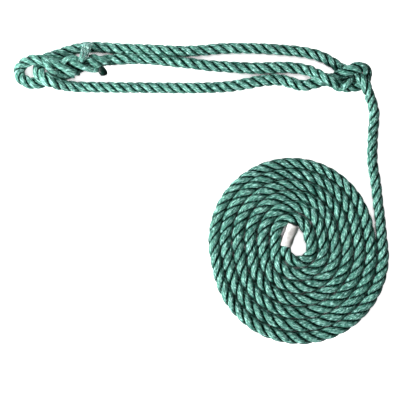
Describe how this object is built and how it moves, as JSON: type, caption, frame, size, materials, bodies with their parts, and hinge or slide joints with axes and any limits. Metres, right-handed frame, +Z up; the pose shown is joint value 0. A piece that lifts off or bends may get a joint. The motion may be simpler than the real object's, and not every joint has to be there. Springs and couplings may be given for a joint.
{
  "type": "rope halter with lead",
  "caption": "Livestock halter tied in one length of green three-strand rope, with a spliced eye, a running loop and a lead coiled flat to a taped end.",
  "frame": {"origin": "centre of the bounding box in plan, on the table the rope lies on", "axes": "+Z up from the table; +X along the halter from the spliced eye to the running loop; the coil lies on the -Y side"},
  "size_m": [0.4309, 0.3452, 0.0255],
  "materials": {
    "rope": "glossy split-film polypropylene yarns laid in three strands",
    "melted_end": "heat-sealed rope end",
    "tape": "white cloth-paper tape, slightly wrinkled"
  },
  "bodies": {
    "loop_end": {"running_loop": "rope", "lead_throat": "rope"},
    "nose_a": {"noseband_1": "rope"},
    "nose_b": {"noseband_2": "rope"},
    "nose_c": {"noseband_3": "rope"},
    "eye_end": {"eye_splice": "rope", "nose_eye": "rope", "splice_strand_1": "rope", "splice_strand_2": "rope", "splice_strand_3": "rope", "sealed_tip": "melted_end"},
    "head_a": {"headpiece_1": "rope"},
    "head_b": {"headpiece_2": "rope"},
    "head_c": {"headpiece_3": "rope"},
    "head_turn": {"eye_bight": "rope"},
    "chin_a": {"chin_line_1": "rope"},
    "chin_b": {"chin_line_2": "rope"},
    "chin_c": {"chin_line_3": "rope"},
    "chin_d": {"chin_line_end": "rope"},
    "lead_a": {"lead_1": "rope"},
    "lead_b": {"lead_2": "rope"},
    "lead_c": {"lead_3": "rope"},
    "lead_d": {"lead_run": "rope", "coil_01": "rope"},
    "turn_02": {"coil_02": "rope"},
    "turn_03": {"coil_03": "rope"},
    "turn_04": {"coil_04": "rope"},
    "turn_05": {"coil_05": "rope"},
    "turn_06": {"coil_06": "rope"},
    "turn_07": {"coil_07": "rope"},
    "turn_08": {"coil_08": "rope"},
    "turn_09": {"coil_09": "rope"},
    "turn_10": {"coil_10": "rope"},
    "turn_11": {"coil_11": "rope"},
    "turn_12": {"coil_12": "rope"},
    "turn_13": {"coil_13": "rope"},
    "free_end": {"lead_tail": "rope", "whipping_tape": "tape"}
  },
  "joints": [
    {"name": "halter_open", "type": "hinge", "parent": "loop_end", "child": "nose_a", "pos_m": [0.11383, 0.14325, 0.006], "axis": [0, 1, 0], "range_deg": [0, 55]},
    {"name": "nose_bend_2", "type": "hinge", "parent": "nose_a", "child": "nose_b", "pos_m": [0.03333, 0.14475, 0.006], "axis": [0, 1, 0], "range_deg": [-55, 0]},
    {"name": "nose_bend_3", "type": "hinge", "parent": "nose_b", "child": "nose_c", "pos_m": [-0.01267, 0.14925, 0.006], "axis": [0, 1, 0], "range_deg": [-55, 0]},
    {"name": "nose_bend_4", "type": "hinge", "parent": "nose_c", "child": "eye_end", "pos_m": [-0.09317, 0.15375, 0.006], "axis": [0, 1, 0], "range_deg": [0, 55]},
    {"name": "head_bend_1", "type": "hinge", "parent": "loop_end", "child": "head_a", "pos_m": [0.11133, 0.12375, 0.006], "axis": [0, 0, 1], "range_deg": [0, 55]},
    {"name": "head_bend_2", "type": "hinge", "parent": "head_a", "child": "head_b", "pos_m": [0.03083, 0.12375, 0.006], "axis": [0, 0, 1], "range_deg": [-55, 0]},
    {"name": "head_bend_3", "type": "hinge", "parent": "head_b", "child": "head_c", "pos_m": [-0.05867, 0.12175, 0.006], "axis": [0, 0, 1], "range_deg": [-55, 0]},
    {"name": "head_bend_4", "type": "hinge", "parent": "head_c", "child": "head_turn", "pos_m": [-0.13917, 0.12175, 0.006], "axis": [0, 0, 1], "range_deg": [0, 55]},
    {"name": "chin_bend_1", "type": "hinge", "parent": "loop_end", "child": "chin_a", "pos_m": [0.11383, 0.16425, 0.006], "axis": [0, 0, 1], "range_deg": [-55, 0]},
    {"name": "chin_bend_2", "type": "hinge", "parent": "chin_a", "child": "chin_b", "pos_m": [0.03333, 0.16425, 0.006], "axis": [0, 0, 1], "range_deg": [0, 55]},
    {"name": "chin_bend_3", "type": "hinge", "parent": "chin_b", "child": "chin_c", "pos_m": [-0.04717, 0.16625, 0.006], "axis": [0, 0, 1], "range_deg": [0, 55]},
    {"name": "chin_bend_4", "type": "hinge", "parent": "chin_c", "child": "chin_d", "pos_m": [-0.12767, 0.16625, 0.006], "axis": [0, 0, 1], "range_deg": [-55, 0]},
    {"name": "lead_swing", "type": "hinge", "parent": "loop_end", "child": "lead_a", "pos_m": [0.19733, 0.10175, 0.006], "axis": [0, 0, 1], "range_deg": [0, 50]},
    {"name": "lead_lift", "type": "hinge", "parent": "lead_a", "child": "lead_b", "pos_m": [0.19933, 0.08505, 0.006], "axis": [-1, 0, 0], "range_deg": [0, 30]},
    {"name": "lead_lift_2", "type": "hinge", "parent": "lead_b", "child": "lead_c", "pos_m": [0.19793, 0.06835, 0.006], "axis": [-1, 0, 0], "range_deg": [0, 30]},
    {"name": "lead_lift_3", "type": "hinge", "parent": "lead_c", "child": "lead_d", "pos_m": [0.19743, 0.05165, 0.006], "axis": [-1, 0, 0], "range_deg": [0, 30]},
    {"name": "coil_rise", "type": "slide", "parent": "lead_d", "child": "turn_02", "axis": [0, 0, 1], "range_m": [0, 0.008]},
    {"name": "coil_rise_02", "type": "slide", "parent": "turn_02", "child": "turn_03", "axis": [0, 0, 1], "range_m": [0, 0.008]},
    {"name": "coil_rise_03", "type": "slide", "parent": "turn_03", "child": "turn_04", "axis": [0, 0, 1], "range_m": [0, 0.008]},
    {"name": "coil_rise_04", "type": "slide", "parent": "turn_04", "child": "turn_05", "axis": [0, 0, 1], "range_m": [0, 0.008]},
    {"name": "coil_rise_05", "type": "slide", "parent": "turn_05", "child": "turn_06", "axis": [0, 0, 1], "range_m": [0, 0.008]},
    {"name": "coil_rise_06", "type": "slide", "parent": "turn_06", "child": "turn_07", "axis": [0, 0, 1], "range_m": [0, 0.008]},
    {"name": "coil_rise_07", "type": "slide", "parent": "turn_07", "child": "turn_08", "axis": [0, 0, 1], "range_m": [0, 0.008]},
    {"name": "coil_rise_08", "type": "slide", "parent": "turn_08", "child": "turn_09", "axis": [0, 0, 1], "range_m": [0, 0.008]},
    {"name": "coil_rise_09", "type": "slide", "parent": "turn_09", "child": "turn_10", "axis": [0, 0, 1], "range_m": [0, 0.008]},
    {"name": "coil_rise_10", "type": "slide", "parent": "turn_10", "child": "turn_11", "axis": [0, 0, 1], "range_m": [0, 0.008]},
    {"name": "coil_rise_11", "type": "slide", "parent": "turn_11", "child": "turn_12", "axis": [0, 0, 1], "range_m": [0, 0.008]},
    {"name": "coil_rise_12", "type": "slide", "parent": "turn_12", "child": "turn_13", "axis": [0, 0, 1], "range_m": [0, 0.008]},
    {"name": "tail_lift", "type": "hinge", "parent": "turn_13", "child": "free_end", "pos_m": [0.11239, -0.07907, 0.0066], "axis": [1, 0, 0], "range_deg": [0, 75]}
  ],
  "couplings": [
    {"joint": "nose_bend_2", "follows": "halter_open", "ratio": -1},
    {"joint": "nose_bend_3", "follows": "halter_open", "ratio": -1},
    {"joint": "nose_bend_4", "follows": "halter_open", "ratio": 1},
    {"joint": "head_bend_1", "follows": "halter_open", "ratio": 1},
    {"joint": "head_bend_2", "follows": "halter_open", "ratio": -1},
    {"joint": "head_bend_3", "follows": "halter_open", "ratio": -1},
    {"joint": "head_bend_4", "follows": "halter_open", "ratio": 1},
    {"joint": "chin_bend_1", "follows": "halter_open", "ratio": -1},
    {"joint": "chin_bend_2", "follows": "halter_open", "ratio": 1},
    {"joint": "chin_bend_3", "follows": "halter_open", "ratio": 1},
    {"joint": "chin_bend_4", "follows": "halter_open", "ratio": -1},
    {"joint": "lead_lift_2", "follows": "lead_lift", "ratio": 1},
    {"joint": "lead_lift_3", "follows": "lead_lift", "ratio": 1},
    {"joint": "coil_rise_02", "follows": "coil_rise", "ratio": 1},
    {"joint": "coil_rise_03", "follows": "coil_rise", "ratio": 1},
    {"joint": "coil_rise_04", "follows": "coil_rise", "ratio": 1},
    {"joint": "coil_rise_05", "follows": "coil_rise", "ratio": 1},
    {"joint": "coil_rise_06", "follows": "coil_rise", "ratio": 1},
    {"joint": "coil_rise_07", "follows": "coil_rise", "ratio": 1},
    {"joint": "coil_rise_08", "follows": "coil_rise", "ratio": 1},
    {"joint": "coil_rise_09", "follows": "coil_rise", "ratio": 1},
    {"joint": "coil_rise_10", "follows": "coil_rise", "ratio": 1},
    {"joint": "coil_rise_11", "follows": "coil_rise", "ratio": 1},
    {"joint": "coil_rise_12", "follows": "coil_rise", "ratio": 1}
  ]
}
